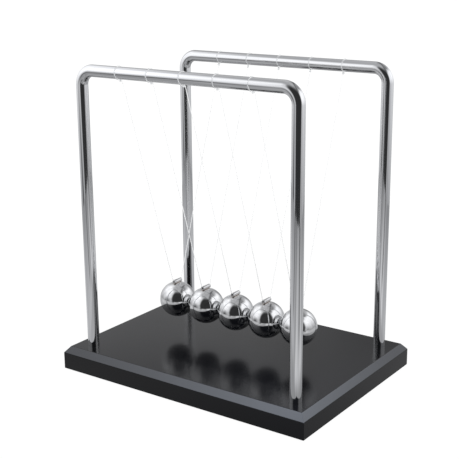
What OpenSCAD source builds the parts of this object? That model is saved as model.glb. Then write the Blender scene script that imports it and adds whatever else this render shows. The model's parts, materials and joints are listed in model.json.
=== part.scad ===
// A five-ball Newton's cradle: two bent tube frames on a block base, with each
// ball hung from both rails on a V of thread.
// X runs along the row of balls, Y from the front frame to the rear frame, +Z is up.
// The origin is the centre of the plane that the feet rest on. Millimetres.

/* [Base] */
// Length of the base, along the row of balls
base_l = 170; // [160:1:200]
// Depth of the base, from front to back
base_w = 122; // [118:1:150]
// Thickness of the base
base_t = 14; // [13:0.5:20]
// Width of the chamfer on the top face
chamfer_w = 3.2; // [1:0.1:5]
// Height of the chamfer on the side faces
chamfer_h = 3.8; // [1:0.1:5]

/* [Frames] */
// Outside diameter of the frame tube
tube_d = 7; // [6.6:0.1:8]
// Wall thickness of the frame tube
tube_wall = 1; // [0.8:0.05:1.1]
// Bend radius on the tube's centre line
bend_r = 8.5; // [8:0.5:14]
// Distance between the two legs of one frame, centre to centre
leg_span = 144; // [140:1:146]
// Distance between the two frames, centre to centre
frame_gap = 96; // [90:1:98]
// Height of the rail's centre above the underside of the base
rail_h = 180.5; // [165:0.5:200]
// Depth of the hole in the base that takes the foot of a leg
socket_depth = 7; // [5:0.5:8]

/* [Balls and threads] */
// Diameter of a ball
ball_d = 22; // [20:0.5:22]
// Distance between neighbouring balls at rest, centre to centre
ball_pitch = 22.1; // [22.1:0.05:22.5]
// Height of the balls' centres above the underside of the base
ball_h = 35; // [28:0.5:40]
// Outside diameter of the eyelet tube on a ball
eyelet_d = 2.4; // [2:0.1:3]
// Bore of the eyelet tube
eyelet_bore = 1.2; // [0.8:0.1:1.4]
// Length of the eyelet tube
eyelet_l = 7; // [5:0.5:9]
// How far the eyelet is let into the ball
eyelet_sink = 0.4; // [0.2:0.1:0.6]
// Diameter of the thread
thread_d = 0.4; // [0.3:0.05:0.5]
// Diameter of the knot under a rail
knot_d = 1.1; // [0.9:0.1:1.4]
// Length of the knot's straight middle part
knot_l = 0.7; // [0.5:0.1:1]
// Slant of a thread's turn round the rail, in degrees
loop_slant = 5; // [0:1:6]

/* [Fixings] */
// Diameter of the screw thread
screw_d = 4; // [3:0.5:4]
// Reach of a screw into its plug
screw_reach = 9; // [6:1:10]
// Diameter of the screw head
head_d = 7.8; // [7:0.1:8.2]
// Height of the screw head
head_h = 2.4; // [2:0.1:2.6]
// Diameter of the washer
washer_d = 9; // [8.4:0.1:9.2]
// Thickness of the washer
washer_t = 0.8; // [0.5:0.1:0.9]
// Length of the plug in the foot of a leg
plug_l = 12; // [11:1:16]
// Diameter of a rubber foot
foot_d = 12; // [9:0.5:14]
// Thickness of a rubber foot
foot_t = 1.8; // [1.5:0.1:2.5]
// How far a foot stands out below the base
foot_proud = 0.8; // [0.5:0.1:1.2]
// Distance between the feet along the base
foot_span_x = 112; // [90:1:116]
// Distance between the feet across the base
foot_span_y = 88; // [70:1:94]

/* [Hidden] */
$fn = 64;

ball_count = 5;
front = -1;
rear = 1;
snug = 0.02;
cut = 1;

underside_z = foot_proud;
top_z = underside_z + base_t;
rail_z = underside_z + rail_h;
leg_x = leg_span / 2;
frame_y = frame_gap / 2;
tube_r = tube_d / 2;
tube_bore_r = tube_r - tube_wall;
rail_half = leg_x - bend_r;
bend_z = rail_z - bend_r;

socket_r = tube_r + 0.05;
socket_z = top_z - socket_depth;
counterbore_r = washer_d / 2 + 0.3;
counterbore_h = head_h + washer_t + 0.4;
screw_hole_r = screw_d / 2 + 0.2;
washer_bore_r = screw_d / 2 + 0.15;
tapped_h = screw_reach + 0.5;
foot_recess_h = foot_t - foot_proud;
foot_recess_r = foot_d / 2 + 0.1;

ball_r = ball_d / 2;
ball_z = underside_z + ball_h;
eyelet_r = eyelet_d / 2;
eyelet_z = ball_z + ball_r + eyelet_r - eyelet_sink;

// beside the eyelet the thread turns upward, on a bead just thicker than itself
thread_r = thread_d / 2;
bead_r = thread_r + 0.03;
turn_y = eyelet_l / 2 + bead_r + 0.12;

// a thread's line of pull runs from the rail's centre to its turn beside the eyelet
pull_y = frame_y - turn_y;
pull_z = rail_z - eyelet_z;
pull_len = sqrt(pull_y * pull_y + pull_z * pull_z);
pull_angle = atan(pull_y / pull_z);

// the knot's centre lies on that line, just under the thread's turn round the rail
loop_r = tube_r + thread_r + 0.04;
knot_r = knot_d / 2;
knot_drop = loop_r + thread_r + knot_r + 0.15;
pivot_y = frame_y - knot_drop * sin(pull_angle);
pivot_z = rail_z - knot_drop * cos(pull_angle);
strand_len = pull_len - knot_drop;

function ball_x(i) = (i - (ball_count + 1) / 2) * ball_pitch;

// a block whose top edge has a mitred chamfer all round
module chamfered_block() {
    module side(length) {
        polygon([
            [-length / 2, 0],
            [length / 2, 0],
            [length / 2, base_t - chamfer_h],
            [length / 2 - chamfer_w, base_t],
            [-length / 2 + chamfer_w, base_t],
            [-length / 2, base_t - chamfer_h]
        ]);
    }
    intersection() {
        rotate([90, 0, 0])
            linear_extrude(base_w, center = true)
                side(base_l);
        rotate([90, 0, 90])
            linear_extrude(base_l, center = true)
                side(base_w);
    }
}

// puts its children at the foot of each of the four legs
module at_legs() {
    for (x = [-leg_x, leg_x], y = [-frame_y, frame_y])
        translate([x, y, 0])
            children();
}

// puts its children at each of the four rubber feet
module at_feet() {
    for (x = [-foot_span_x / 2, foot_span_x / 2], y = [-foot_span_y / 2, foot_span_y / 2])
        translate([x, y, 0])
            children();
}

module base() {
    color([0.06, 0.06, 0.065])
        difference() {
            translate([0, 0, underside_z])
                chamfered_block();
            at_legs() {
                translate([0, 0, socket_z])
                    cylinder(r = socket_r, h = socket_depth + cut);
                translate([0, 0, underside_z - cut])
                    cylinder(r = screw_hole_r, h = base_t);
                translate([0, 0, underside_z - cut])
                    cylinder(r = counterbore_r, h = counterbore_h + cut);
            }
            at_feet()
                translate([0, 0, underside_z - cut])
                    cylinder(r = foot_recess_r, h = foot_recess_h + cut);
        }
}

// the tube's wall in section
module tube_ring() {
    difference() {
        circle(r = tube_r);
        circle(r = tube_bore_r);
    }
}

// an inverted U of tube: two legs that stand in the base, two bends and a rail
module frame(side) {
    color([0.78, 0.79, 0.8])
        translate([0, side * frame_y, 0]) {
            for (hand = [0, 1])
                mirror([hand, 0, 0]) {
                    translate([leg_x, 0, socket_z])
                        linear_extrude(bend_z - socket_z)
                            tube_ring();
                    translate([rail_half, 0, bend_z])
                        rotate([90, 0, 0])
                            rotate_extrude(angle = 90)
                                translate([bend_r, 0])
                                    tube_ring();
                }
            translate([-rail_half, 0, rail_z])
                rotate([0, 90, 0])
                    linear_extrude(2 * rail_half)
                        tube_ring();
        }
}

// a steel ball with a shallow seat for its eyelet across the top
module ball(i) {
    color([0.75, 0.76, 0.77])
        difference() {
            translate([ball_x(i), 0, ball_z])
                sphere(r = ball_r);
            translate([ball_x(i), 0, eyelet_z])
                rotate([90, 0, 0])
                    cylinder(r = eyelet_r + snug, h = 2 * ball_r, center = true);
        }
}

// the short tube on top of a ball, lying across the row
module eyelet(i) {
    color([0.7, 0.71, 0.72])
        translate([ball_x(i), 0, eyelet_z])
            rotate([90, 0, 0])
                difference() {
                    cylinder(r = eyelet_r, h = eyelet_l, center = true);
                    cylinder(r = eyelet_bore / 2, h = eyelet_l + 2 * cut, center = true);
                }
}

// the knot at one end of a thread, on the line that the ball swings about
module knot() {
    rotate([90, 0, 0]) {
        cylinder(r = knot_r, h = knot_l, center = true);
        for (end = [-1, 1])
            translate([0, 0, end * knot_l / 2])
                sphere(r = knot_r + snug);
    }
}

// one thread: through the eyelet and up to a knot under each rail
module thread(i) {
    color([0.9, 0.92, 0.94, 0.5])
        translate([ball_x(i), 0, eyelet_z]) {
            rotate([90, 0, 0])
                cylinder(r = thread_r, h = 2 * turn_y, center = true);
            for (side = [front, rear])
                translate([0, side * turn_y, 0]) {
                    sphere(r = bead_r);
                    rotate([-side * pull_angle, 0, 0])
                        cylinder(r = thread_r, h = strand_len);
                    translate([0, side * (pivot_y - turn_y), pivot_z - eyelet_z])
                        knot();
                }
        }
}

// the turn of a thread round its rail
module loop(i, side) {
    color([0.9, 0.92, 0.94])
        translate([ball_x(i), side * frame_y, rail_z])
            rotate([0, 90, loop_slant])
                rotate_extrude()
                    translate([loop_r, 0])
                        circle(r = thread_r);
}

// a threaded plug in the bottom end of each leg
module leg_plugs() {
    color([0.62, 0.63, 0.65])
        at_legs()
            translate([0, 0, socket_z])
                difference() {
                    cylinder(r = tube_bore_r - snug, h = plug_l);
                    translate([0, 0, -cut])
                        cylinder(r = screw_d / 2 + snug, h = tapped_h + cut);
                }
}

// four screws that come up through the base into the plugs
module frame_screws() {
    seat_z = underside_z + counterbore_h - washer_t - snug;
    shank = screw_reach + socket_z - seat_z;
    slot_w = 0.9;
    slot_l = head_d * 0.6;
    slot_h = head_h * 0.6;
    color([0.6, 0.61, 0.63])
        at_legs()
            translate([0, 0, seat_z]) {
                cylinder(r = screw_d / 2, h = shank);
                translate([0, 0, -head_h])
                    difference() {
                        cylinder(r = head_d / 2, h = head_h);
                        for (turn = [0, 90])
                            rotate([0, 0, turn])
                                translate([-slot_l / 2, -slot_w / 2, -cut])
                                    cube([slot_l, slot_w, slot_h + cut]);
                    }
            }
}

// a washer between each screw head and the base
module frame_washers() {
    color([0.66, 0.67, 0.69])
        at_legs()
            translate([0, 0, underside_z + counterbore_h - washer_t])
                difference() {
                    cylinder(r = washer_d / 2, h = washer_t);
                    translate([0, 0, -cut])
                        cylinder(r = washer_bore_r, h = washer_t + 2 * cut);
                }
}

// four rubber pads, let into the underside of the base
module feet() {
    color([0.1, 0.1, 0.1])
        at_feet()
            cylinder(r = foot_d / 2, h = foot_t);
}

base();
frame(front);  // front_frame
frame(rear);  // rear_frame
ball(1);  // ball_1
ball(2);  // ball_2
ball(3);  // ball_3
ball(4);  // ball_4
ball(5);  // ball_5
eyelet(1);  // eyelet_1
eyelet(2);  // eyelet_2
eyelet(3);  // eyelet_3
eyelet(4);  // eyelet_4
eyelet(5);  // eyelet_5
thread(1);  // thread_1
thread(2);  // thread_2
thread(3);  // thread_3
thread(4);  // thread_4
thread(5);  // thread_5
loop(1, front);  // front_loop_1
loop(2, front);  // front_loop_2
loop(3, front);  // front_loop_3
loop(4, front);  // front_loop_4
loop(5, front);  // front_loop_5
loop(1, rear);  // rear_loop_1
loop(2, rear);  // rear_loop_2
loop(3, rear);  // rear_loop_3
loop(4, rear);  // rear_loop_4
loop(5, rear);  // rear_loop_5
leg_plugs();
frame_screws();
frame_washers();
feet();
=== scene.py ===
"""Looks of a five-ball cradle: bent chrome frames, mirror balls and clear thread on a black lacquered base.

Metres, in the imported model's frame: X along the row of balls, Y from front to rear, +Z up.
"""
import json
import math

import bpy
from mathutils import Matrix, Vector


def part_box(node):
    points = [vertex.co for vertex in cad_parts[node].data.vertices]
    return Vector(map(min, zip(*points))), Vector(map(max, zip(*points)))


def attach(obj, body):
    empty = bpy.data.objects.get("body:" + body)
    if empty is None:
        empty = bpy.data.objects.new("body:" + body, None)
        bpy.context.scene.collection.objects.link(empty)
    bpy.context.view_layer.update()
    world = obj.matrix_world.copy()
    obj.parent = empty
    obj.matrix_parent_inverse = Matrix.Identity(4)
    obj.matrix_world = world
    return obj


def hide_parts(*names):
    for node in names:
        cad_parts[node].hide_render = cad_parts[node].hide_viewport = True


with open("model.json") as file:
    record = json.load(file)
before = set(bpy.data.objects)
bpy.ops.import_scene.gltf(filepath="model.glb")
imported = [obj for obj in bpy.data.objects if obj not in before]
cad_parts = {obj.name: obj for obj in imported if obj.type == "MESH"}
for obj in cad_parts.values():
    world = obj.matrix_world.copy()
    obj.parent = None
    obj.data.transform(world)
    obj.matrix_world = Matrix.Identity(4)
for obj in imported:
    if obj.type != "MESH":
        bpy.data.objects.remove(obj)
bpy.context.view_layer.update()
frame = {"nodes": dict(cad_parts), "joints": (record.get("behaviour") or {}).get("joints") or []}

MM = 0.001
BALLS = range(1, 6)
SIDES = {"front": -1, "rear": 1}

# ------------------------------------------------------------------ sizes that the boxes don't give

TUBE_R = 3.5 * MM
TUBE_WALL = 1.0 * MM
BEND_R = 8.5 * MM
CHAMFER_W = 3.2 * MM
CHAMFER_H = 3.8 * MM
SOCKET_GAP = 0.05 * MM
SCREW_HOLE_R = 2.2 * MM
COUNTERBORE_R = 4.8 * MM
FOOT_GAP = 0.1 * MM
SEAT_GAP = 0.02 * MM
EYELET_BORE_R = 0.6 * MM
THREAD_R = 0.2 * MM
TURN_GAP = 0.03 * MM
TURN_SLANT = math.radians(5)
KNOT_R = 0.55 * MM
KNOT_REACH = 0.92 * MM
SCREW_R = 2 * MM
SCREW_PITCH = 0.7 * MM
SCREW_THREAD_DEPTH = 0.43 * MM
WASHER_HOLE_R = 2.15 * MM
FOOT_R = 6 * MM

# ------------------------------------------------------------------ places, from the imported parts

base_low, base_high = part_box("base")
rail_low, rail_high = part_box("front_frame")
frame_y = -(rail_high.y + rail_low.y) / 2
rail_z = rail_high.z - TUBE_R
leg_x = rail_high.x - TUBE_R
leg_bottom = rail_low.z

ball_low, ball_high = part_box("ball_1")
ball_r = (ball_high.x - ball_low.x) / 2
ball_z = ball_low.z + ball_r
eyelet_low, eyelet_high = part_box("eyelet_1")
eyelet_r = (eyelet_high.x - eyelet_low.x) / 2
eyelet_half = eyelet_high.y
eyelet_z = (eyelet_high.z + eyelet_low.z) / 2
pivot_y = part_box("thread_1")[1].y - KNOT_REACH
pivot_z = frame["joints"][0]["pos_m"][2]

foot_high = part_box("feet")[1]
washer_low, washer_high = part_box("frame_washers")
screw_low, screw_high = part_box("frame_screws")
washer_r = washer_high.x - leg_x
head_r = screw_high.x - leg_x
foot_x, foot_y = foot_high.x - FOOT_R, foot_high.y - FOOT_R
corners = [(-1, -1), (1, -1), (1, 1), (-1, 1)]
leg_places = [Matrix.Translation((x * leg_x, y * frame_y, 0)) for x, y in corners]
foot_places = [Matrix.Translation((x * foot_x, y * foot_y, 0)) for x, y in corners]


def ball_x(i):
    low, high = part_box(f"ball_{i}")
    return (low.x + high.x) / 2


# ------------------------------------------------------------------ mesh helpers


def mesh_of(name, points, faces, sharp_deg=35):
    """A smooth-shaded mesh, with edges steeper than sharp_deg kept crisp."""
    mesh = bpy.data.meshes.new(name)
    mesh.from_pydata([tuple(p) for p in points], [], faces)
    mesh.validate()
    mesh.shade_smooth()
    mesh.set_sharp_from_angle(angle=math.radians(sharp_deg))
    mesh.update()
    return mesh


def place(name, mesh, material, body, node, at=(0, 0, 0)):
    """Adds a piece to the scene: it rides on body, takes material's finish and stands for node."""
    piece = bpy.data.objects.new(name, mesh)
    piece.location = at
    bpy.context.scene.collection.objects.link(piece)
    if material.name not in mesh.materials:
        mesh.materials.append(material)
    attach(piece, body)
    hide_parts(node)


def joined(parts):
    """One list of points and faces from several."""
    points, faces = [], []
    for more, their_faces in parts:
        start = len(points)
        points += more
        faces += [tuple(start + k for k in face) for face in their_faces]
    return points, faces


def moved(part, matrix):
    """A part's points and faces, carried by matrix."""
    points, faces = part
    return [matrix @ Vector(p) for p in points], faces


def skin(rings, capped=True):
    """Points and outward faces over rings of equal count that run along +axis, anticlockwise about it."""
    count = len(rings[0])
    points = [p for ring in rings for p in ring]
    faces = []
    for i in range(len(rings) - 1):
        a, b = i * count, (i + 1) * count
        for k in range(count):
            n = (k + 1) % count
            faces.append((a + k, a + n, b + n, b + k))
    if capped:
        last = (len(rings) - 1) * count
        faces.append(tuple(reversed(range(count))))
        faces.append(tuple(last + k for k in range(count)))
    return points, faces


def lathe(profile, sides, closed=False):
    """Turns (radius, height) points about Z. A closed profile makes a ring; an open one gets end caps."""
    turns = [2 * math.pi * k / sides for k in range(sides)]
    rings = [[Vector((r * math.cos(t), r * math.sin(t), z)) for t in turns] for r, z in profile]
    if closed:
        rings.append(rings[0])
        points, faces = skin(rings, capped=False)
        seam = len(points) - sides
        return points[:seam], [tuple(k - seam if k >= seam else k for k in f) for f in faces]
    return skin(rings)


def rings_along(path, radii, sides):
    """Round rings on a path, each turned as little as possible from the one before."""
    rings, across = [], None
    for i, p in enumerate(path):
        ahead = (path[min(i + 1, len(path) - 1)] - path[max(i - 1, 0)]).normalized()
        if across is None:
            across = ahead.orthogonal().normalized()
        across = (across - ahead * across.dot(ahead)).normalized()
        other = ahead.cross(across)
        turns = [2 * math.pi * k / sides for k in range(sides)]
        rings.append([p + (across * math.cos(t) + other * math.sin(t)) * radii[i] for t in turns])
    return rings


def cord(path, radius, sides):
    """A solid round cord along a path, with flattened domes for ends."""
    end_steps, flattened = 4, 0.6
    start = (path[0] - path[1]).normalized()
    finish = (path[-1] - path[-2]).normalized()
    turns = [0.5 * math.pi * k / end_steps for k in range(end_steps)]
    dome = [(radius * math.cos(t), radius * math.sin(t)) for t in turns[1:]]
    head = [(path[0] + start * (out * flattened), r) for r, out in reversed(dome)]
    tail = [(path[-1] + finish * (out * flattened), r) for r, out in dome]
    stations = head + [(p, radius) for p in path] + tail
    return skin(rings_along([p for p, _ in stations], [r for _, r in stations], sides))


def arc(centre, radius, start, stop, steps, across, up):
    """Points on an arc from angle start to stop, measured from across toward up, in radians."""
    found = []
    for k in range(steps + 1):
        t = start + (stop - start) * k / steps
        found.append(centre + (across * math.cos(t) + up * math.sin(t)) * radius)
    return found


def subtract(target, cutter):
    """Cuts cutter's volume out of target and bakes target's modifiers into its mesh."""
    cut = target.modifiers.new("cut", "BOOLEAN")
    cut.operation, cut.solver, cut.object = "DIFFERENCE", "EXACT", cutter
    return baked(target, cutter)


def baked(target, *helpers):
    """The mesh of target with its modifiers applied; target and helpers are then removed."""
    bpy.context.view_layer.update()
    graph = bpy.context.evaluated_depsgraph_get()
    mesh = bpy.data.meshes.new_from_object(target.evaluated_get(graph), depsgraph=graph)
    for used in (target, *helpers):
        bpy.data.objects.remove(used)
    return mesh


def helper(name, part):
    """An object to cut or to cut with; subtract and baked use it up."""
    points, faces = part
    made = bpy.data.objects.new(name, mesh_of(name, points, faces))
    bpy.context.scene.collection.objects.link(made)
    return made


# ------------------------------------------------------------------ materials


def add(tree, kind, inputs=None, **settings):
    """Adds a shader node; an input is a value or another node's output."""
    made = tree.nodes.new("ShaderNode" + kind)
    for key, value in settings.items():
        setattr(made, key, value)
    for key, value in (inputs or {}).items():
        if isinstance(value, bpy.types.NodeSocket):
            tree.links.new(value, made.inputs[key])
        else:
            made.inputs[key].default_value = value
    return made


def calc(tree, operation, a, b=0.0, c=0.0):
    return add(tree, "Math", {0: a, 1: b, 2: c}, operation=operation).outputs[0]


def remap(tree, value, low, high, to_low, to_high, smooth=True):
    shape = "SMOOTHSTEP" if smooth else "LINEAR"
    inputs = {"Value": value, "From Min": low, "From Max": high, "To Min": to_low, "To Max": to_high}
    return add(tree, "MapRange", inputs, interpolation_type=shape).outputs[0]


def noise(tree, vector, scale, detail=2.0, roughness=0.5):
    inputs = {"Vector": vector, "Scale": scale, "Detail": detail, "Roughness": roughness}
    return add(tree, "TexNoise", inputs).outputs[0]


def scaled(tree, vector, by):
    return add(tree, "VectorMath", {0: vector, 1: by}, operation="MULTIPLY").outputs[0]


def blend_colours(tree, share, first, second):
    inputs = {0: share, 6: (*first, 1), 7: (*second, 1)}
    return add(tree, "Mix", inputs, data_type="RGBA").outputs[2]


def bump(tree, height, distance, under=None):
    """A normal bent by height, on top of the normal under, if given."""
    inputs = {"Height": height, "Distance": distance}
    if under is not None:
        inputs["Normal"] = under
    return add(tree, "Bump", inputs).outputs[0]


def start_material(name, **values):
    """A new material: itself, its tree, its Principled surface and object coordinates."""
    material = bpy.data.materials.new(name)
    material.use_nodes = True
    tree = material.node_tree
    surface = tree.nodes["Principled BSDF"]
    for key, value in values.items():
        surface.inputs[key.replace("_", " ")].default_value = value
    where = add(tree, "TexCoord").outputs["Object"]
    return material, tree, surface, where


def chrome_tube():
    """Bright chrome on drawn tube: faint polishing lines along it, and reflections that waver a little."""
    material, tree, surface, _ = start_material("chrome_tube", Metallic=1.0)
    along = add(tree, "Attribute", attribute_name="straightened").outputs["Vector"]
    lines = noise(tree, scaled(tree, along, (1100, 1100, 6)), 1.0, 4.0, 0.6)
    waver = noise(tree, scaled(tree, along, (150, 150, 22)), 1.0, 1.0)
    shade = remap(tree, lines, 0.3, 0.7, 0.0, 1.0)
    colour = blend_colours(tree, shade, (0.70, 0.71, 0.725), (0.85, 0.855, 0.86))
    tree.links.new(colour, surface.inputs["Base Color"])
    tree.links.new(remap(tree, lines, 0.3, 0.75, 0.04, 0.09), surface.inputs["Roughness"])
    rolled = bump(tree, waver, 0.012 * MM)
    tree.links.new(bump(tree, lines, 0.0008 * MM, under=rolled), surface.inputs["Normal"])
    return material


def mirror_ball():
    """Mirror-polished steel, straw-tinted by heat close to the eyelet's seat."""
    material, tree, surface, where = start_material("polished_ball", Metallic=1.0)
    haze = noise(tree, where, 420.0, 5.0, 0.6)
    gap = add(tree, "VectorMath", {0: where, 1: (0, 0, ball_r)}, operation="SUBTRACT").outputs[0]
    flat = scaled(tree, gap, (1.0, 0.42, 1.0))
    reach = add(tree, "VectorMath", {0: flat}, operation="LENGTH").outputs["Value"]
    ragged = calc(tree, "MULTIPLY_ADD", haze, 0.6 * MM, reach)
    tint = remap(tree, ragged, 1.4 * MM, 2.6 * MM, 1.0, 0.0)
    shade = remap(tree, haze, 0.3, 0.7, 0.0, 1.0)
    steel = blend_colours(tree, shade, (0.69, 0.695, 0.70), (0.85, 0.855, 0.86))
    straw = add(tree, "Mix", {0: tint, 6: steel, 7: (0.58, 0.53, 0.49, 1)}, data_type="RGBA").outputs[2]
    tree.links.new(straw, surface.inputs["Base Color"])
    tree.links.new(remap(tree, haze, 0.35, 0.7, 0.03, 0.07), surface.inputs["Roughness"])
    waver = noise(tree, where, 120.0, 1.0)
    tree.links.new(bump(tree, waver, 0.006 * MM), surface.inputs["Normal"])
    return material


def eyelet_steel():
    """Drawn steel tube, cut short: fine rings from the cut-off tool and a little heat colour beneath."""
    material, tree, surface, where = start_material("eyelet_steel", Metallic=1.0)
    rings = noise(tree, scaled(tree, where, (300, 9000, 300)), 1.0, 2.0)
    height = add(tree, "SeparateXYZ", {0: where}).outputs["Z"]
    warm = remap(tree, height, -eyelet_r, 0.1 * eyelet_r, 0.85, 0.0)
    colour = blend_colours(tree, warm, (0.74, 0.74, 0.74), (0.47, 0.43, 0.40))
    tree.links.new(colour, surface.inputs["Base Color"])
    tree.links.new(remap(tree, rings, 0.3, 0.7, 0.12, 0.24), surface.inputs["Roughness"])
    tree.links.new(bump(tree, rings, 0.004 * MM), surface.inputs["Normal"])
    return material


def lacquer(name, tint, rough, level):
    """Satin black lacquer: faint orange peel, and gloss that varies slightly from place to place."""
    material, tree, surface, where = start_material(name, Specular_IOR_Level=level)
    cloud = noise(tree, where, 38.0, 5.0, 0.6)
    colour = blend_colours(tree, cloud, [c * 0.8 for c in tint], [c * 1.2 for c in tint])
    tree.links.new(colour, surface.inputs["Base Color"])
    tree.links.new(remap(tree, cloud, 0.3, 0.7, rough - 0.02, rough + 0.02), surface.inputs["Roughness"])
    peel = noise(tree, where, 900.0, 2.0)
    grain = noise(tree, scaled(tree, where, (180, 1500, 1500)), 1.0, 3.0)
    filled = bump(tree, grain, 0.003 * MM)
    tree.links.new(bump(tree, peel, 0.004 * MM, under=filled), surface.inputs["Normal"])
    return material


def clear_nylon():
    """Clear monofilament, faintly milky."""
    material, tree, surface, where = start_material("clear_nylon", IOR=1.53)
    surface.inputs["Transmission Weight"].default_value = 0.96
    drawn = noise(tree, where, 1400.0, 2.0)
    colour = blend_colours(tree, drawn, (0.95, 0.96, 0.97), (0.98, 0.985, 0.99))
    tree.links.new(colour, surface.inputs["Base Color"])
    tree.links.new(remap(tree, drawn, 0.3, 0.7, 0.04, 0.10), surface.inputs["Roughness"])
    return material


def zinc_plate():
    """Zinc-plated steel: a dull shine with a faint spangle and a warm cast in places."""
    material, tree, surface, where = start_material("plated_steel", Metallic=1.0)
    cells = add(tree, "TexVoronoi", {"Vector": where, "Scale": 1800.0}).outputs["Distance"]
    cloud = noise(tree, where, 400.0, 3.0)
    colour = blend_colours(tree, cloud, (0.60, 0.61, 0.62), (0.70, 0.68, 0.62))
    tree.links.new(colour, surface.inputs["Base Color"])
    tree.links.new(remap(tree, cells, 0.0, 0.7, 0.24, 0.4), surface.inputs["Roughness"])
    tree.links.new(bump(tree, cells, 0.006 * MM), surface.inputs["Normal"])
    return material


def foot_rubber():
    """Matt black moulded rubber with a fine tooth."""
    material, tree, surface, where = start_material("foot_rubber", Specular_IOR_Level=0.35)
    tooth = noise(tree, where, 2500.0, 4.0)
    colour = blend_colours(tree, tooth, (0.018, 0.018, 0.019), (0.034, 0.034, 0.034))
    tree.links.new(colour, surface.inputs["Base Color"])
    tree.links.new(remap(tree, tooth, 0.3, 0.7, 0.6, 0.78), surface.inputs["Roughness"])
    tree.links.new(bump(tree, tooth, 0.03 * MM), surface.inputs["Normal"])
    return material


TUBE_CHROME = chrome_tube()
BALL_STEEL = mirror_ball()
EYELET_STEEL = eyelet_steel()
LACQUER = lacquer("black_lacquer", (0.0012, 0.0013, 0.0018), 0.18, 0.38)
# The chamfer's copy of the lacquer is lighter and bluer than the top: partly a different finish on the
# milled edge, partly painted sheen standing in for the light the chamfer catches.
CHAMFER_LACQUER_PAINTED_SHEEN = lacquer("chamfer_lacquer_painted_sheen", (0.0200, 0.0222, 0.0265), 0.30, 0.60)
NYLON = clear_nylon()
ZINC = zinc_plate()
RUBBER = foot_rubber()


# ------------------------------------------------------------------ the base


def chamfered_block():
    """A block with a mitred chamfer round its top face."""
    levels = [(base_low.z, 0.0), (base_high.z - CHAMFER_H, 0.0), (base_high.z, CHAMFER_W)]
    rings = [
        [Vector((x * (base_high.x - inset), y * (base_high.y - inset), z)) for x, y in corners]
        for z, inset in levels
    ]
    return skin(rings)


def base_holes():
    """What is drilled out of the base: four stepped leg holes and four recesses for the feet."""
    over = 2 * MM
    soften = 0.25 * MM
    step_z = washer_high.z
    leg_hole = [
        (COUNTERBORE_R + soften + over, base_low.z - over),
        (COUNTERBORE_R, base_low.z + soften),
        (COUNTERBORE_R, step_z),
        (SCREW_HOLE_R, step_z),
        (SCREW_HOLE_R, leg_bottom),
        (TUBE_R + SOCKET_GAP, leg_bottom),
        (TUBE_R + SOCKET_GAP, base_high.z + over),
    ]
    recess = [(FOOT_R + FOOT_GAP, base_low.z - over), (FOOT_R + FOOT_GAP, foot_high.z)]
    sides = 96
    parts = [moved(lathe(leg_hole, sides), at) for at in leg_places]
    parts += [moved(lathe(recess, sides), at) for at in foot_places]
    return joined(parts)


def make_base():
    edge_r = 0.3 * MM
    block = helper("block", chamfered_block())
    ease = block.modifiers.new("ease", "BEVEL")
    ease.width, ease.segments, ease.limit_method = edge_r, 3, "ANGLE"
    ease.angle_limit = math.radians(20)
    rough_cut = subtract(block, helper("holes", base_holes()))
    rough_cut.set_sharp_from_angle(angle=math.radians(40))
    cut_block = bpy.data.objects.new("cut_block", rough_cut)
    bpy.context.scene.collection.objects.link(cut_block)
    flat = cut_block.modifiers.new("flat", "WEIGHTED_NORMAL")
    flat.keep_sharp, flat.weight = True, 100
    mesh = baked(cut_block)
    mesh.materials.clear()
    mesh.materials.append(LACQUER)
    # The sloped chamfer faces take the lighter copy, which carries the painted sheen.
    mesh.materials.append(CHAMFER_LACQUER_PAINTED_SHEEN)
    for face in mesh.polygons:
        sloped = 0.45 < face.normal.z < 0.85
        outside = face.center.z > base_high.z - CHAMFER_H - edge_r
        face.material_index = 1 if sloped and outside else 0
    place("lacquered_base", mesh, LACQUER, "root", "base")


# ------------------------------------------------------------------ the frames


def frame_path():
    """The tube's centre line, from the foot of the left leg over to the foot of the right one."""
    leg_steps, bend_steps, rail_steps = 24, 28, 30
    left, right = Vector((-1, 0, 0)), Vector((1, 0, 0))
    up = Vector((0, 0, 1))
    bend_z = rail_z - BEND_R
    rail_half = leg_x - BEND_R
    path = []
    for k in range(leg_steps):
        path.append(Vector((-leg_x, 0, leg_bottom + (bend_z - leg_bottom) * k / leg_steps)))
    path += arc(Vector((-rail_half, 0, bend_z)), BEND_R, 0, math.pi / 2, bend_steps, left, up)
    for k in range(1, rail_steps):
        path.append(Vector((rail_half * (2 * k / rail_steps - 1), 0, rail_z)))
    path += arc(Vector((rail_half, 0, bend_z)), BEND_R, math.pi / 2, 0, bend_steps, right, up)
    for k in range(1, leg_steps + 1):
        path.append(Vector((leg_x, 0, bend_z + (leg_bottom - bend_z) * k / leg_steps)))
    return path


def make_frame(name, side, node):
    """A hollow bent tube; the attribute 'straightened' holds where each point lay before bending."""
    sides, bore_sides = 80, 40
    path = [Vector((p.x, side * frame_y, p.z)) for p in frame_path()]
    outer = rings_along(path, [TUBE_R] * len(path), sides)
    inner = rings_along(path, [TUBE_R - TUBE_WALL] * len(path), bore_sides)
    points, faces = skin(outer, capped=False)
    bore_points, bore_faces = skin(inner, capped=False)
    start = len(points)
    points += bore_points
    faces += [tuple(start + k for k in reversed(face)) for face in bore_faces]
    for ring in (0, len(path) - 1):
        faces += annulus(ring * sides, sides, start + ring * bore_sides, bore_sides, flip=ring > 0)
    mesh = mesh_of(name, points, faces)
    lengths = [0.0]
    for a, b in zip(path, path[1:]):
        lengths.append(lengths[-1] + (b - a).length)
    straight = []
    for count, radius in ((sides, TUBE_R), (bore_sides, TUBE_R - TUBE_WALL)):
        for s in lengths:
            for k in range(count):
                t = 2 * math.pi * k / count
                straight += (radius * math.cos(t), radius * math.sin(t), s + side)
    layer = mesh.attributes.new("straightened", "FLOAT_VECTOR", "POINT")
    layer.data.foreach_set("vector", straight)
    place(name, mesh, TUBE_CHROME, "root", node)


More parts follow.
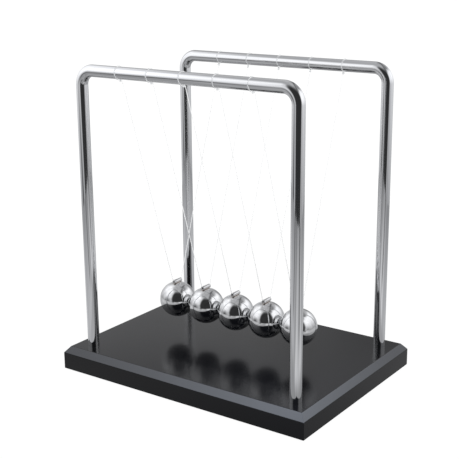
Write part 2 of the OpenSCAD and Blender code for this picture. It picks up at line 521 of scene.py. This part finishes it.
def annulus(outer_start, outer_count, inner_start, inner_count, flip):
    """Faces between a round edge and a finer one inside it that has a whole multiple of its points."""
    step = outer_count // inner_count
    faces = []
    for k in range(inner_count):
        n = (k + 1) % inner_count
        rim = [outer_start + (k * step + j) % outer_count for j in range(step + 1)]
        face = [inner_start + n, inner_start + k] + rim
        faces.append(tuple(reversed(face)) if not flip else tuple(face))
    return faces


# ------------------------------------------------------------------ balls and eyelets


def round_block(steps):
    """A cube of steps x steps faces a side, blown up to a ball, so that its faces are even."""
    index, points, faces = {}, [], []

    def corner(p):
        key = tuple(round(c * steps) for c in p)
        if key not in index:
            bent = Vector([math.tan(c * math.pi / 4) for c in p]).normalized()
            index[key] = len(points)
            points.append(bent * ball_r)
        return index[key]

    for axis in range(3):
        for sign in (-1, 1):
            for i in range(steps):
                for j in range(steps):
                    quad = []
                    for di, dj in ((0, 0), (1, 0), (1, 1), (0, 1)):
                        p = [0.0, 0.0, 0.0]
                        p[axis] = float(sign)
                        p[(axis + 1) % 3] = 2 * (i + di) / steps - 1
                        p[(axis + 2) % 3] = 2 * (j + dj) / steps - 1
                        quad.append(corner(p))
                    faces.append(tuple(quad if sign > 0 else reversed(quad)))
    return points, faces


def ball_mesh():
    """A ball with a shallow seat across its top; its normals are a true sphere's outside the seat."""
    lying = Matrix.Translation((0, 0, eyelet_z - ball_z)) @ Matrix.Rotation(math.pi / 2, 4, "X")
    seat_cutter = [(eyelet_r + SEAT_GAP, -ball_r), (eyelet_r + SEAT_GAP, ball_r)]
    ball = helper("ball", round_block(52))
    mesh = subtract(ball, helper("seat", moved(lathe(seat_cutter, 96), lying)))
    near = 0.002 * MM
    normals = []
    for face in mesh.polygons:
        face.use_smooth = True
        spots = [mesh.vertices[v].co for v in face.vertices]
        on_ball = face.normal.dot(face.center) > 0.9 * ball_r
        round_face = on_ball and all(abs(p.length - ball_r) < near for p in spots)
        in_seat = round_face and all(
            math.hypot(p.x, p.z - (eyelet_z - ball_z)) < eyelet_r + SEAT_GAP + near for p in spots
        )
        for p in spots:
            normals.append(p.normalized() if round_face and not in_seat else face.normal)
    mesh.normals_split_custom_set(normals)
    return mesh


def eyelet_mesh():
    """A short tube about Y with its edges eased, outside and in the bore."""
    ease = 0.14 * MM
    r, b, h = eyelet_r, EYELET_BORE_R, eyelet_half
    profile = [
        (b + ease, -h),
        (r - ease, -h),
        (r - 0.3 * ease, -h + 0.3 * ease),
        (r, -h + ease),
        (r, h - ease),
        (r - 0.3 * ease, h - 0.3 * ease),
        (r - ease, h),
        (b + ease, h),
        (b, h - ease),
        (b, -h + ease),
    ]
    points, faces = moved(lathe(profile, 64, closed=True), Matrix.Rotation(math.pi / 2, 4, "X"))
    return mesh_of("eyelet", points, faces, sharp_deg=50)


def make_balls():
    ball, eyelet = ball_mesh(), eyelet_mesh()
    ball.materials.clear()
    kinds = (
        ("steel_ball", ball, ball_z, BALL_STEEL, "polished_ball", "ball"),
        ("eyelet_tube", eyelet, eyelet_z, EYELET_STEEL, "eyelet_steel", "eyelet"),
    )
    for i in BALLS:
        for name, mesh, z, material, slot, node in kinds:
            at = (ball_x(i), 0, z)
            place(f"{name}_{i}", mesh.copy(), material, f"pendulum_{i}", f"{node}_{i}", at)


# ------------------------------------------------------------------ threads


def bent(points, radius, steps=8):
    """A path through points with each inner corner rounded to radius."""
    path = [points[0]]
    for before, corner, after in zip(points, points[1:], points[2:]):
        back, on = (before - corner).normalized(), (after - corner).normalized()
        half = back.angle(on) / 2
        reach = radius / math.tan(half)
        centre = corner + (back + on).normalized() * (radius / math.sin(half))
        start, stop = corner + back * reach - centre, corner + on * reach - centre
        sweep = start.angle(stop)
        for k in range(steps + 1):
            t = k / steps
            a, b = math.sin((1 - t) * sweep), math.sin(t * sweep)
            path.append(centre + (start * a + stop * b) / math.sin(sweep))
    return path + [points[-1]]


def knot_coil(side):
    """A barrel knot: the thread's end wound along Y about the pivot, then a short tail that hangs."""
    turns, steps = 3.5, 16
    coil_r = KNOT_R - THREAD_R
    pitch = 2.05 * THREAD_R
    tail = 0.35 * MM
    path = []
    for k in range(int(turns * steps) + 1):
        t = 2 * math.pi * k / steps
        y = side * (pivot_y + pitch * (t / (2 * math.pi) - turns / 2))
        path.append(Vector((coil_r * math.cos(t), y, pivot_z + coil_r * math.sin(t))))
    path.append(path[-1] - Vector((0, 0, tail)))
    return path


def half_thread(side):
    """From the middle of the eyelet to the end of the knot under one rail."""
    mouth_r = 0.5 * MM
    turn_y = eyelet_half + THREAD_R + 0.15 * MM
    coil = knot_coil(side)
    middle = Vector((0, 0, eyelet_z))
    turn = Vector((0, side * turn_y, eyelet_z))
    line = bent([middle, turn, coil[0]], mouth_r)
    steps = 40
    strand = [line[-2].lerp(line[-1], k / steps) for k in range(1, steps)]
    return line[1:-1] + strand + coil


def make_threads():
    front = list(reversed(half_thread(-1)))
    path = front + half_thread(1)
    points, faces = cord(path, THREAD_R, 14)
    mesh = mesh_of("thread", points, faces, sharp_deg=80)
    for i in BALLS:
        own = mesh.copy()
        own.transform(Matrix.Translation((ball_x(i), 0, 0)))
        place(f"nylon_thread_{i}", own, NYLON, f"pendulum_{i}", f"thread_{i}")


def rail_turn(side):
    """One turn of thread round a rail: both ends lie on the knot, side by side."""
    steps = 72
    turn_r = TUBE_R + THREAD_R + TURN_GAP
    slant = math.tan(TURN_SLANT)
    spread = 1.1 * THREAD_R
    rail = Vector((0, side * frame_y, rail_z))
    to_knot = Vector((0, side * pivot_y, pivot_z)) - rail
    pull = to_knot.normalized()
    out = to_knot.length - KNOT_R - THREAD_R - TURN_GAP
    lift = math.acos(turn_r / out)
    across = Vector((1, 0, 0)).cross(pull)
    path = []
    for k in range(steps + 1):
        t = lift + (2 * math.pi - 2 * lift) * k / steps
        p = rail + (pull * math.cos(t) + across * math.sin(t)) * turn_r
        share = k / steps * 2 - 1
        p.x = slant * (p.y - rail.y) + spread * share
        path.append(p)
    tip = rail + pull * out
    first, last = tip.copy(), tip.copy()
    first.x = slant * (tip.y - rail.y) - spread
    last.x = slant * (tip.y - rail.y) + spread
    return [first] + path + [last]


def make_loops():
    for word, side in SIDES.items():
        points, faces = cord(rail_turn(side), THREAD_R, 14)
        mesh = mesh_of("turn", points, faces, sharp_deg=80)
        for i in BALLS:
            own = mesh.copy()
            own.transform(Matrix.Translation((ball_x(i), 0, 0)))
            place(f"{word}_thread_turn_{i}", own, NYLON, "root", f"{word}_loop_{i}")


# ------------------------------------------------------------------ fixings


def screw_head(seat_z):
    """A pan head, domed side down."""
    dome_steps, edge = 8, 0.12 * MM
    dome_h = 0.55 * (seat_z - screw_low.z)
    profile = []
    for k in range(dome_steps + 1):
        t = math.pi / 2 * k / dome_steps
        profile.append((head_r * (0.35 + 0.65 * math.sin(t)), screw_low.z + dome_h * (1 - math.cos(t))))
    return lathe(profile + [(head_r, seat_z - edge), (head_r - edge, seat_z)], 64)


def screw_shank(start_z):
    """The threaded part: each point's radius follows how far it lies along the helix."""
    sides, rows_per_turn = 36, 8
    length = screw_high.z - start_z
    plain = 0.6 * MM
    pitch = SCREW_PITCH
    rows = int(length / pitch * rows_per_turn)
    rings = []
    for i in range(rows + 1):
        z = length * i / rows
        ring = []
        for k in range(sides):
            share = (z / pitch - k / sides) % 1.0
            ridge = 1 - abs(2 * share - 1)
            ease_in = min(1.0, max(0.0, (z - plain) / pitch))
            point_in = min(1.0, (length - z) / pitch)
            r = SCREW_R - SCREW_THREAD_DEPTH * ((1 - ridge) * ease_in + (1 - point_in) * ridge)
            t = 2 * math.pi * k / sides
            ring.append(Vector((r * math.cos(t), r * math.sin(t), start_z + z)))
        rings.append(ring)
    return skin(rings)


def make_screws():
    """Four cross-head screws, heads down, each shank sunk a little into its head."""
    seat_z = washer_low.z - SEAT_GAP
    sunk = 0.2 * MM
    head = helper("head", screw_head(seat_z))
    mesh = subtract(head, helper("recess", cross_recess(seat_z - screw_low.z)))
    cut_head = [v.co.copy() for v in mesh.vertices], [tuple(f.vertices) for f in mesh.polygons]
    whole = joined([cut_head, screw_shank(seat_z - sunk)])
    points, faces = joined([moved(whole, at) for at in leg_places])
    made = mesh_of("screws", points, faces)
    place("cross_head_screws", made, ZINC, "root", "frame_screws")


def cross_recess(head_h):
    """A tapered cross, as a screwdriver's tip."""
    half_w, deep, over = 0.42 * MM, 0.62 * head_h, 0.3 * MM
    rings = []
    for z, reach in ((screw_low.z - over, 0.6 * head_r), (screw_low.z + deep, 0.3 * head_r)):
        ring = [Vector((reach, -half_w, z)), Vector((reach, half_w, z)), Vector((half_w, half_w, z))]
        rings.append([Matrix.Rotation(k * math.pi / 2, 3, "Z") @ p for k in range(4) for p in ring])
    return skin(rings)


def make_washers():
    """Flat washers with their edges eased by tumbling."""
    ease = 0.12 * MM
    low, high = washer_low.z, washer_high.z
    profile = [
        (WASHER_HOLE_R + ease, low),
        (washer_r - ease, low),
        (washer_r, low + ease),
        (washer_r, high - ease),
        (washer_r - ease, high),
        (WASHER_HOLE_R + ease, high),
        (WASHER_HOLE_R, high - ease),
        (WASHER_HOLE_R, low + ease),
    ]
    points, faces = joined([moved(lathe(profile, 64, closed=True), at) for at in leg_places])
    made = mesh_of("washers", points, faces, sharp_deg=50)
    place("plain_washers", made, ZINC, "root", "frame_washers")


def make_feet():
    """Moulded rubber pads: a rounded rim, and three shallow rings that grip."""
    rim_r, rim_steps = 0.35 * MM, 4
    groove, edge, middle_r = 0.15 * MM, 0.1 * MM, 0.4 * MM
    profile = [(middle_r, 0.0)]
    for share in (0.3, 0.52, 0.74):
        centre = share * FOOT_R
        profile += [(centre - groove, 0.0), (centre, groove), (centre + groove, 0.0)]
    for k in range(rim_steps + 1):
        t = math.pi / 2 * k / rim_steps
        profile.append((FOOT_R - rim_r + rim_r * math.sin(t), rim_r - rim_r * math.cos(t)))
    profile += [(FOOT_R, foot_high.z - edge), (FOOT_R - edge, foot_high.z)]
    points, faces = joined([moved(lathe(profile, 72), at) for at in foot_places])
    made = mesh_of("feet", points, faces, sharp_deg=40)
    place("rubber_feet", made, RUBBER, "root", "feet")


make_base()
for word, side in SIDES.items():
    make_frame(f"{word}_bent_tube", side, f"{word}_frame")
make_balls()
make_threads()
make_loops()
make_screws()
make_washers()
make_feet()
plugs = frame["nodes"]["leg_plugs"]
plugs.data.materials.clear()
plugs.data.materials.append(ZINC)


# ------------------------------------------------------------------ camera

CAMERA_YAW = math.radians(35.27)
CAMERA_PITCH = math.radians(15.51)
CAMERA_ROLL = math.radians(-0.44)
CAMERA_AIM = Vector((-2.0, -3.0, 87.8)) * MM
CAMERA_DISTANCE = 600.6 * MM
LENS_MM = 80.21


def make_camera():
    data = bpy.data.cameras.new("camera")
    data.lens, data.sensor_width = LENS_MM, 36.0
    data.clip_start, data.clip_end = 0.01, 20.0
    camera = bpy.data.objects.new("camera", data)
    bpy.context.scene.collection.objects.link(camera)
    turn = (
        Matrix.Rotation(CAMERA_YAW, 4, "Z")
        @ Matrix.Rotation(math.pi / 2 - CAMERA_PITCH, 4, "X")
        @ Matrix.Rotation(CAMERA_ROLL, 4, "Z")
    )
    back = turn @ Vector((0, 0, 1))
    camera.matrix_world = Matrix.Translation(CAMERA_AIM + back * CAMERA_DISTANCE) @ turn
    bpy.context.scene.camera = camera


# ------------------------------------------------------------------ light tent and floor

TENT_R = 500 * MM
DEG = math.pi / 180
WHITE = (0.992, 0.996, 1.02, 1)


def product(tree, *values):
    total = values[0]
    for value in values[1:]:
        total = calc(tree, "MULTIPLY", total, value)
    return total


def directions(tree):
    """Where a shaded point lies as seen from the middle ball.

    Azimuth and elevation in degrees, 0 toward the camera and + to its right, then the share to the right.
    """
    where = add(tree, "NewGeometry").outputs["Position"]
    away = add(tree, "VectorMath", {0: where, 1: (0, 0, ball_z)}, operation="SUBTRACT").outputs[0]
    unit = add(tree, "VectorMath", {0: away}, operation="NORMALIZE").outputs[0]
    toward = (math.sin(CAMERA_YAW), -math.cos(CAMERA_YAW), 0)
    right = (math.cos(CAMERA_YAW), math.sin(CAMERA_YAW), 0)
    front = add(tree, "VectorMath", {0: unit, 1: toward}, operation="DOT_PRODUCT").outputs["Value"]
    side = add(tree, "VectorMath", {0: unit, 1: right}, operation="DOT_PRODUCT").outputs["Value"]
    rise = add(tree, "SeparateXYZ", {0: unit}).outputs["Z"]
    azimuth = calc(tree, "DIVIDE", calc(tree, "ARCTAN2", side, front), DEG)
    elevation = calc(tree, "DIVIDE", calc(tree, "ARCSINE", rise), DEG)
    return azimuth, elevation, side


def window(tree, value, low, high, soft):
    """1 between low and high, falling to 0 over soft on each side."""
    rise = remap(tree, value, low - soft / 2, low + soft / 2, 0.0, 1.0)
    fall = remap(tree, value, high - soft / 2, high + soft / 2, 1.0, 0.0)
    return calc(tree, "MULTIPLY", rise, fall)


def apart(tree, value, from_value):
    """How far value lies from from_value."""
    return calc(tree, "ABSOLUTE", calc(tree, "SUBTRACT", value, from_value))


def lerp(tree, share, low, high):
    """low where share is 0 and high where it is 1; both may be sockets."""
    gap = calc(tree, "SUBTRACT", high, low)
    return calc(tree, "MULTIPLY_ADD", gap, share, low)


def folds(tree, azimuth, width, least, most):
    """Soft upright folds in the cloth, about width degrees apart, as a factor from least to most."""
    turn = calc(tree, "DIVIDE", azimuth, width)
    wave = add(tree, "TexNoise", {"W": turn, "Scale": 1.0, "Detail": 3.0}, noise_dimensions="1D").outputs[0]
    return remap(tree, wave, 0.28, 0.72, least, most, smooth=False)


def opening(tree, azimuth, elevation):
    """The tent's doorway toward the camera: upright sides and a soft rounded top."""
    middle, shoulder, top_rise = -1.5, 18.0, 37.0
    half = remap(tree, elevation, -4.0, 16.0, 34.0, 37.0)
    across = calc(tree, "DIVIDE", calc(tree, "SUBTRACT", azimuth, middle), half)
    above = calc(tree, "MAXIMUM", calc(tree, "SUBTRACT", elevation, shoulder), 0.0)
    up = calc(tree, "DIVIDE", above, top_rise)
    sides = calc(tree, "POWER", calc(tree, "ABSOLUTE", across), 4.0)
    total = calc(tree, "ADD", sides, calc(tree, "POWER", up, 2.5))
    return remap(tree, total, 0.6, 2.8, 1.0, 0.0)


def tent_material():
    """Lit cloth: bright panels to both sides, greyer behind and overhead, and a dark doorway in front."""
    material = bpy.data.materials.new("tent")
    material.use_nodes = True
    tree = material.node_tree
    tree.nodes.remove(tree.nodes["Principled BSDF"])
    azimuth, elevation, side = directions(tree)

    left = product(
        tree,
        window(tree, azimuth, -142.0, -52.0, 44.0),
        window(tree, elevation, -30.0, 60.0, 20.0),
    )
    off_peak = apart(tree, azimuth, 74.0)
    slanted = calc(tree, "MULTIPLY_ADD", off_peak, 0.4, elevation)
    right = product(
        tree,
        window(tree, azimuth, 44.0, 144.0, 24.0),
        window(tree, slanted, -30.0, 58.0, 16.0),
    )
    wings = calc(tree, "MAXIMUM", left, right)

    by_door = product(
        tree,
        window(tree, azimuth, -88.0, 54.0, 28.0),
        remap(tree, elevation, 2.0, 22.0, 0.34, 0.0),
    )
    foot = remap(tree, elevation, -4.0, 30.0, 0.38, 1.0, smooth=False)
    shaded_foot = calc(tree, "SUBTRACT", foot, by_door)

    over_right = product(
        tree,
        window(tree, azimuth, 26.0, 158.0, 24.0),
        window(tree, elevation, 50.0, 70.0, 16.0),
    )
    plain = lerp(tree, over_right, remap(tree, elevation, 30.0, 62.0, 0.60, 0.50), 0.28)
    behind = remap(tree, calc(tree, "ABSOLUTE", azimuth), 140.0, 160.0, 0.0, 1.0)
    low_behind = remap(tree, side, -0.05, 0.38, 0.66, 0.27)
    high_behind = remap(tree, elevation, 48.0, 66.0, 0.46, 0.56)
    behind_glow = lerp(tree, remap(tree, elevation, 16.0, 23.0, 0.0, 1.0), low_behind, high_behind)
    plain = lerp(tree, behind, plain, behind_glow)

    overhead_edge = product(
        tree,
        window(tree, side, 0.29, 0.37, 0.04),
        remap(tree, elevation, 34.0, 42.0, 0.0, 1.0),
    )

    cloth = product(
        tree,
        lerp(tree, wings, plain, 1.28),
        lerp(tree, overhead_edge, 1.0, 0.45),
        lerp(tree, wings, 1.0, shaded_foot),
        folds(tree, azimuth, 26.0, 0.86, 1.08),
    )
    glow = lerp(tree, opening(tree, azimuth, elevation), cloth, 0.035)
    light = add(tree, "Emission", {"Strength": glow, "Color": WHITE}).outputs[0]
    tree.links.new(light, tree.nodes["Material Output"].inputs["Surface"])
    return material


def seen_plainly(tree):
    """1 for what the camera sees directly or through clear thread."""
    path = add(tree, "LightPath")
    return calc(tree, "MAXIMUM", path.outputs["Is Camera Ray"], path.outputs["Is Transmission Ray"])


def mirrored_floor(tree, where, reach):
    """How bright the floor's painted glow is for reflections and bounce light: greyer outward, with painted
    shade close to the base and painted dark streaks toward the doorway's sides.
    """
    azimuth = directions(tree)[0]
    steepness = add(tree, "SeparateXYZ", {0: where.outputs["Incoming"]}).outputs["Z"]
    # Painted shade: the floor's glow is darkened close to the base, most toward its near corner, where the
    # base shades the floor.
    corner_shade = remap(tree, apart(tree, azimuth, 19.0), 0.0, 110.0, 0.47, 0.84, smooth=False)
    off_middle = remap(tree, reach, 0.02 * TENT_R, 0.15 * TENT_R, 0.0, 1.0)
    base_shade = lerp(tree, off_middle, 0.6, corner_shade)
    out_from_base = remap(tree, reach, 0.24 * TENT_R, 0.33 * TENT_R, 0.0, 1.0)
    # Painted dark streaks on the floor's glow, far out beside the doorway.
    left_streak = window(tree, azimuth, -42.0, -30.0, 8.0)
    right_streak = window(tree, azimuth, 28.0, 42.0, 8.0)
    painted_dark_streaks = calc(tree, "MAXIMUM", left_streak, right_streak)
    far_out = remap(tree, reach, 0.34 * TENT_R, 0.5 * TENT_R, 0.0, 1.0)
    return product(
        tree,
        remap(tree, reach, 0.2 * TENT_R, 0.9 * TENT_R, 0.70, 0.38, smooth=False),
        calc(tree, "MULTIPLY_ADD", steepness, -0.62, 1.12),
        lerp(tree, out_from_base, base_shade, folds(tree, azimuth, 30.0, 0.62, 1.34)),
        lerp(tree, product(tree, painted_dark_streaks, far_out), 1.0, 0.4),
    )


def floor_material():
    """Pale floor: it shows white with a faint contact shadow, and its mirror image is a light grey painted
    glow with painted shade near the base.
    """
    material = bpy.data.materials.new("floor")
    material.use_nodes = True
    tree = material.node_tree
    tree.nodes.remove(tree.nodes["Principled BSDF"])
    where = add(tree, "NewGeometry")
    reach = add(tree, "VectorMath", {0: where.outputs["Position"]}, operation="LENGTH").outputs["Value"]
    shadowed = remap(tree, reach, 0.5 * TENT_R, 0.85 * TENT_R, 0.06, 0.0)
    white = add(tree, "Emission", {"Strength": 1.05}).outputs[0]
    matt = add(tree, "BsdfDiffuse", {"Color": (0.9, 0.9, 0.9, 1)}).outputs[0]
    plain = add(tree, "MixShader", {0: shadowed, 1: white, 2: matt}).outputs[0]

    glow = mirrored_floor(tree, where, reach)
    mirrored = add(tree, "Emission", {"Strength": glow, "Color": WHITE}).outputs[0]
    top = add(tree, "MixShader", {0: seen_plainly(tree), 1: mirrored, 2: plain}).outputs[0]
    through = add(tree, "BsdfTransparent").outputs[0]
    both = add(tree, "MixShader", {0: where.outputs["Backfacing"], 1: top, 2: through}).outputs[0]
    tree.links.new(both, tree.nodes["Material Output"].inputs["Surface"])
    material.cycles.emission_sampling = "NONE"
    return material


def make_stage():
    """A white floor and a light tent; the tent lights and mirrors but isn't itself seen."""
    floor_half = 4.0
    floor_corners = [Vector((x * floor_half, y * floor_half, 0)) for x, y in corners]
    floor = bpy.data.objects.new("floor", mesh_of("floor", floor_corners, [(0, 1, 2, 3)]))
    floor.data.materials.append(floor_material())
    steps = 20
    turns = [math.pi / 2 * k / steps for k in range(steps)]
    dome = [(TENT_R * math.cos(t), TENT_R * math.sin(t)) for t in turns]
    points, faces = lathe(dome, 64)
    open_below = faces[:-2] + faces[-1:]
    tent = bpy.data.objects.new("tent", mesh_of("tent", points, open_below))
    tent.data.materials.append(tent_material())
    tent.visible_camera = tent.visible_transmission = False
    for stage in (floor, tent):
        bpy.context.scene.collection.objects.link(stage)


def make_lamp():
    """A small lamp over the base's near corner: it lights only the base and isn't mirrored anywhere."""
    data = bpy.data.lights.new("lamp", "AREA")
    data.shape, data.size, data.energy = "DISK", 60 * MM, 1.45
    lamp = bpy.data.objects.new("lamp", data)
    stand = Vector((110, -120, 150)) * MM
    aim = Vector((85, -61, 14)) * MM
    turn = (aim - stand).to_track_quat("-Z", "Y").to_matrix().to_4x4()
    lamp.matrix_world = Matrix.Translation(stand) @ turn
    lamp.visible_camera = lamp.visible_glossy = lamp.visible_transmission = False
    lit = bpy.data.collections.new("lit_by_lamp")
    lit.objects.link(bpy.data.objects["lacquered_base"])
    lamp.light_linking.receiver_collection = lit
    bpy.context.scene.collection.objects.link(lamp)


def make_world():
    """Plain white to the camera and through clear thread, and no light of its own."""
    world = bpy.data.worlds.new("white")
    world.use_nodes = True
    tree = world.node_tree
    tree.links.new(seen_plainly(tree), tree.nodes["Background"].inputs["Strength"])
    tree.nodes["Background"].inputs["Color"].default_value = (1, 1, 1, 1)
    world.cycles.sampling_method = "NONE"
    bpy.context.scene.world = world


make_camera()
make_stage()
make_lamp()
make_world()
bpy.context.scene.view_settings.view_transform = "Standard"
bpy.context.scene.cycles.max_bounces = 16
bpy.context.scene.cycles.glossy_bounces = 10
